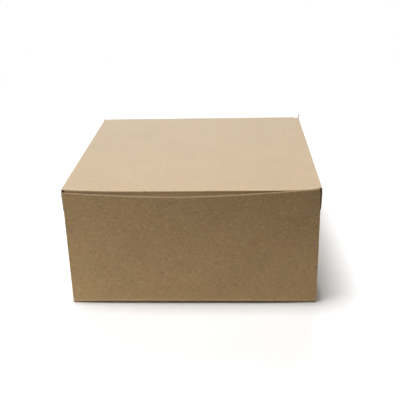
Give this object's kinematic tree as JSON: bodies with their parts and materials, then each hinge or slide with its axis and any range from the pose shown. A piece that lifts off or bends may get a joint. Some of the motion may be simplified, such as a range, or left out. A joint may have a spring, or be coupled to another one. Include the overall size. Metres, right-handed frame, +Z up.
{
  "type": "cake box",
  "caption": "Square folding cake box in kraft paperboard: glued pop-up corners, a lid hinged on a crease at the back, a front tuck flap and side flaps.",
  "frame": {"origin": "centre of the base panel's underside, on the surface that the box stands on", "axes": "+Z up, -Y towards the front wall that faces the viewer, +Y towards the crease of the lid, +X to the right seen from the front"},
  "size_m": [0.2576, 0.2596, 0.1325],
  "materials": {
    "kraft_board": "matte",
    "dried_glue": "satin"
  },
  "bodies": {
    "tray": {"base_panel": "kraft_board", "front_wall": "kraft_board", "back_wall": "kraft_board", "left_wall": "kraft_board", "right_wall": "kraft_board", "front_left_web": "kraft_board", "front_right_web": "kraft_board", "back_left_web": "kraft_board", "back_right_web": "kraft_board", "front_left_glue_flap": "kraft_board", "front_right_glue_flap": "kraft_board", "back_left_glue_flap": "kraft_board", "back_right_glue_flap": "kraft_board", "front_left_glue": "dried_glue", "front_right_glue": "dried_glue", "back_left_glue": "dried_glue", "back_right_glue": "dried_glue"},
    "lid": {"lid_panel": "kraft_board"},
    "tuck": {"tuck_flap": "kraft_board"},
    "left_flap": {"left_lid_flap": "kraft_board"},
    "right_flap": {"right_lid_flap": "kraft_board"}
  },
  "joints": [
    {"name": "lid_hinge", "type": "hinge", "parent": "tray", "child": "lid", "pos_m": [0, 0.127, 0.1269], "axis": [-1, 0, 0], "range_deg": [0, 200]},
    {"name": "tuck_flap_crease", "type": "hinge", "parent": "lid", "child": "tuck", "pos_m": [0, -0.1258, 0.1263], "axis": [1, 0, 0], "range_deg": [0, 78]},
    {"name": "left_flap_crease", "type": "hinge", "parent": "lid", "child": "left_flap", "pos_m": [-0.1276, 0, 0.1272], "axis": [0, 1, 0], "range_deg": [0, 90]},
    {"name": "right_flap_crease", "type": "hinge", "parent": "lid", "child": "right_flap", "pos_m": [0.1276, 0, 0.1272], "axis": [0, -1, 0], "range_deg": [0, 90]}
  ]
}
